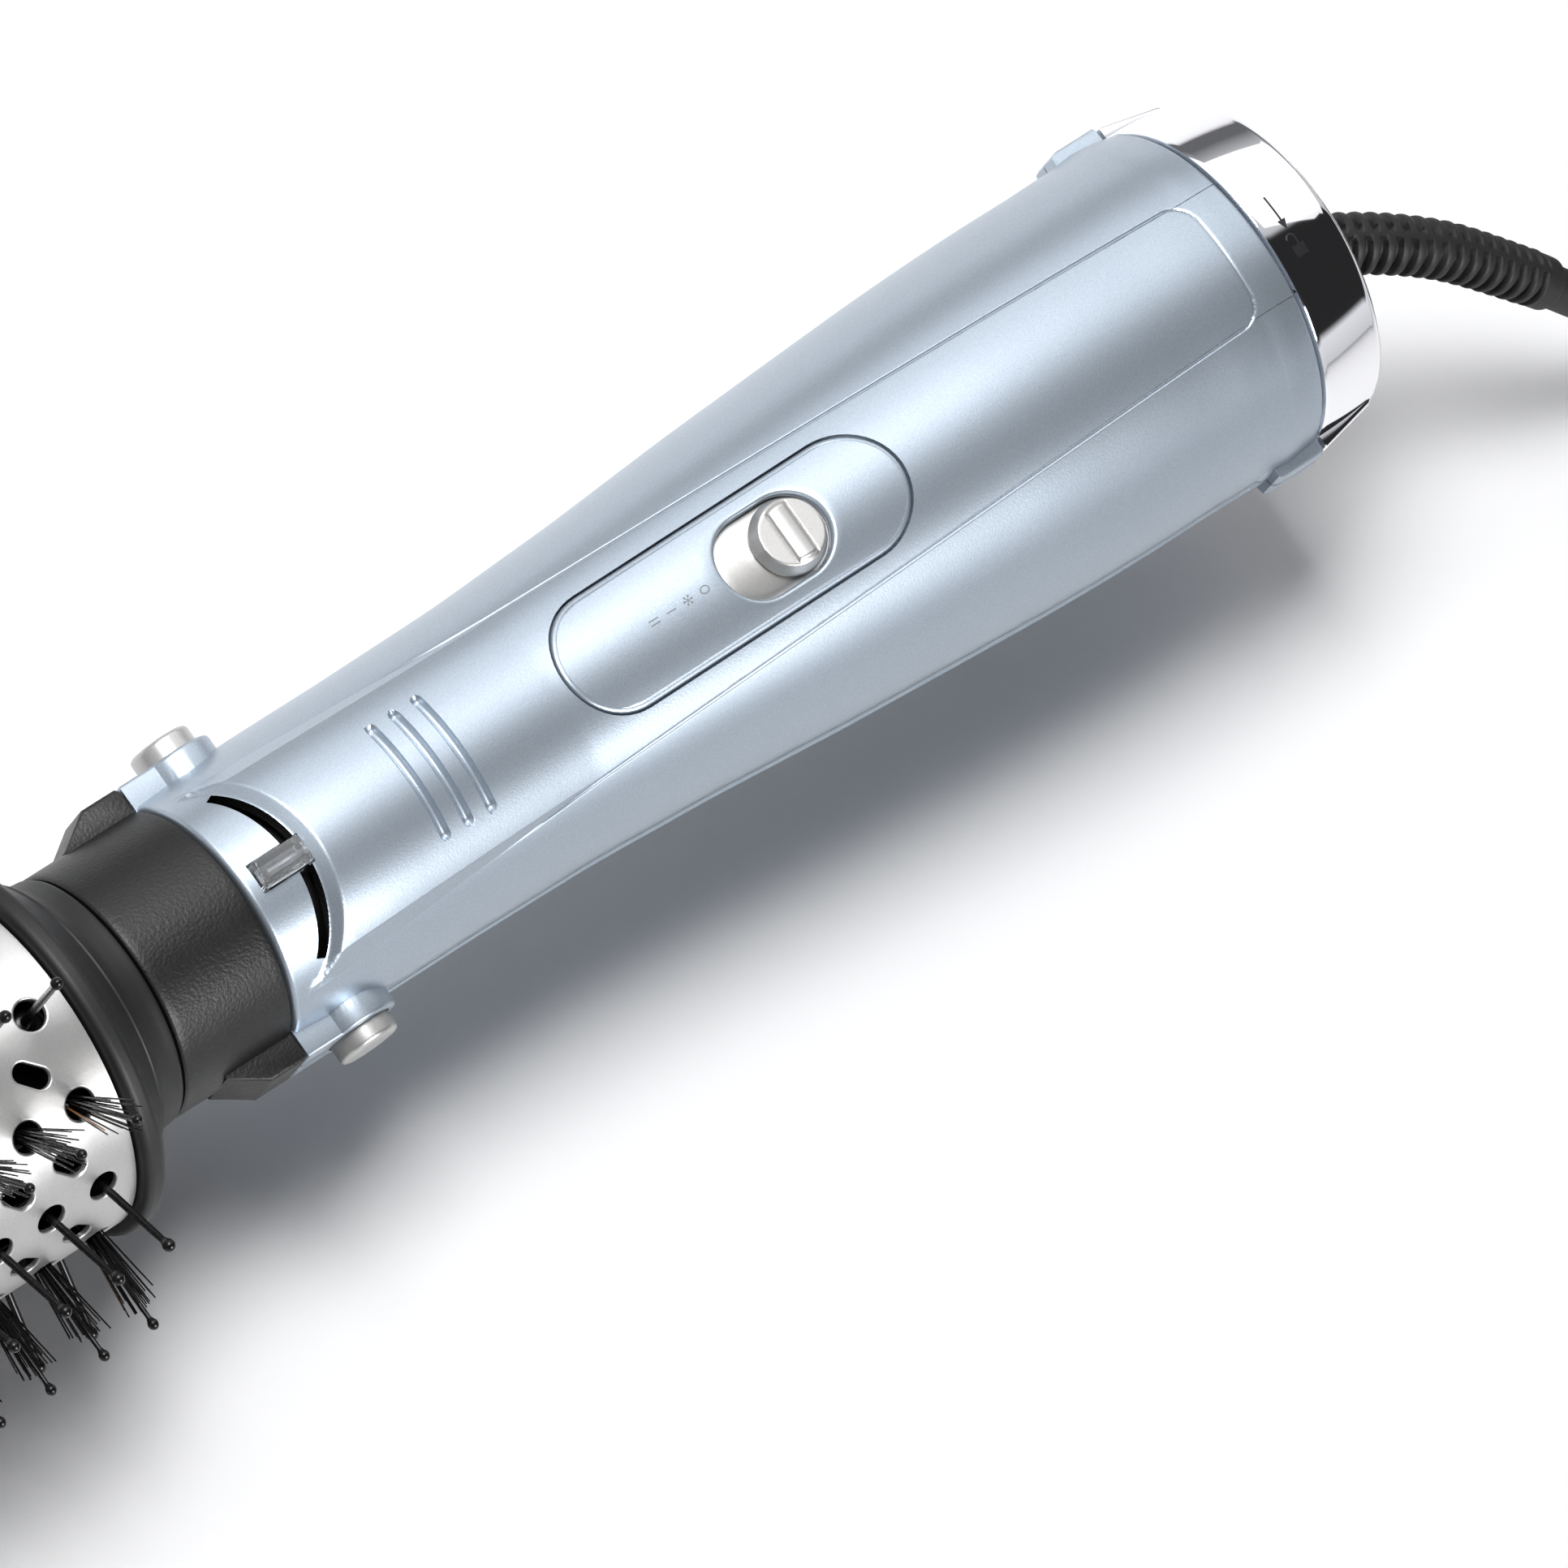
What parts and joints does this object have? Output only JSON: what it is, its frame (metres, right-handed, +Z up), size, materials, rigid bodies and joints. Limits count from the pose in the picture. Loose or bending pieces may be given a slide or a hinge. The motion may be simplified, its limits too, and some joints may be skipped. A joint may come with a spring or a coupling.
{
  "type": "hot air brush",
  "caption": "Corded hot air brush: round vented barrel with radial pins and tufts on a tapered handle with slide switch, side release buttons and rear filter cap.",
  "frame": {"origin": "centre of the object's footprint, at the height of the lowest bristle tips, without the cord and plug", "axes": "+X along the handle from the brush to the cord, +Z up through the switch, +Y to the far side, which completes a right-handed frame"},
  "size_m": [0.5215, 0.1, 0.078],
  "materials": {
    "pearl_blue": "pearl metallic lacquer on moulded plastic, fine flake, semi-gloss",
    "satin_black": "fine spark-eroded satin black",
    "gloss_black": "glossy black nylon",
    "chrome": "bright plated plastic",
    "satin_silver": "satin silver lacquer",
    "barrel_silver": "satin ceramic-coated aluminium",
    "clear": "clear moulded acrylic",
    "steel": "bright zinc-plated steel",
    "brass": "nickel-plated brass, satin",
    "mica": "pressed mica sheet",
    "heater_alloy": "oxidised resistance wire",
    "circuit_board": "solder-masked board",
    "white_plastic": "moulded white phenolic",
    "soft_black": "matte black flexible PVC",
    "filter_grey": "fine woven nylon mesh"
  },
  "bodies": {
    "handle": {"handle_upper_shell": "pearl_blue", "handle_lower_shell": "pearl_blue", "switch_plate": "pearl_blue", "shell_screw_front": "steel", "shell_screw_rear": "steel", "switch_body": "satin_black", "control_board": "circuit_board", "button_spring_left": "steel", "button_spring_right": "steel", "ion_window": "clear", "ion_emitter": "steel", "ioniser_module": "satin_black", "nose_duct": "satin_black", "heater_sleeve": "mica", "heater_board_flat": "mica", "heater_board_upright": "mica", "heater_wire": "heater_alloy", "thermostat": "white_plastic", "thermal_fuse": "steel", "fan_housing": "satin_black", "motor": "steel", "cord_gland": "satin_black", "strain_relief": "soft_black", "cord_run": "soft_black", "cord_coil": "soft_black", "cord_tie": "soft_black", "cord_tail": "soft_black", "plug_body": "satin_black", "plug_pin_left": "brass", "plug_pin_right": "brass"},
    "switch": {"switch_slider": "satin_silver", "switch_knob": "satin_silver"},
    "button_left": {"release_button_left": "satin_silver"},
    "button_right": {"release_button_right": "satin_silver"},
    "filter": {"filter_frame": "satin_black", "filter_mesh": "filter_grey"},
    "cap": {"rear_cap": "chrome", "intake_grille": "satin_black"},
    "fan": {"motor_shaft": "steel", "fan_impeller": "satin_black"},
    "brush_head": {"brush_collar": "satin_black", "brush_spigot": "gloss_black", "brush_flange": "satin_black", "brush_barrel": "barrel_silver", "bristle_carrier": "gloss_black", "tip_cap": "satin_black", "tip_screw": "steel", "bristle_strip_01": "gloss_black", "bristle_strip_02": "gloss_black", "bristle_strip_03": "gloss_black", "bristle_strip_04": "gloss_black", "bristle_strip_05": "gloss_black", "bristle_strip_06": "gloss_black", "bristle_strip_07": "gloss_black", "bristle_strip_08": "gloss_black", "bristle_strip_09": "gloss_black", "bristle_strip_10": "gloss_black", "bristle_strip_11": "gloss_black", "bristle_strip_12": "gloss_black"}
  },
  "joints": [
    {"name": "switch_slide", "type": "slide", "parent": "handle", "child": "switch", "axis": [-0.9982, 0, -0.0594], "range_m": [0, 0.0051]},
    {"name": "release_button_left_press", "type": "slide", "parent": "handle", "child": "button_left", "axis": [0, -1, 0], "range_m": [0, 0.0022], "stiffness_N_per_m": 300, "springref_m": -0.002},
    {"name": "release_button_right_press", "type": "slide", "parent": "handle", "child": "button_right", "axis": [0, 1, 0], "range_m": [0, 0.0022], "stiffness_N_per_m": 300, "springref_m": -0.002},
    {"name": "filter_pull", "type": "slide", "parent": "handle", "child": "filter", "axis": [1, 0, 0], "range_m": [0, 0.005]},
    {"name": "cap_twist", "type": "hinge", "parent": "filter", "child": "cap", "pos_m": [0.14625, 0, 0.039], "axis": [1, 0, 0], "range_deg": [0, 20]},
    {"name": "fan_spin", "type": "hinge", "parent": "handle", "child": "fan", "pos_m": [0.12125, 0, 0.039], "axis": [1, 0, 0], "continuous": true},
    {"name": "brush_head_pull", "type": "slide", "parent": "handle", "child": "brush_head", "axis": [-1, 0, 0], "range_m": [0, 0.04]}
  ]
}
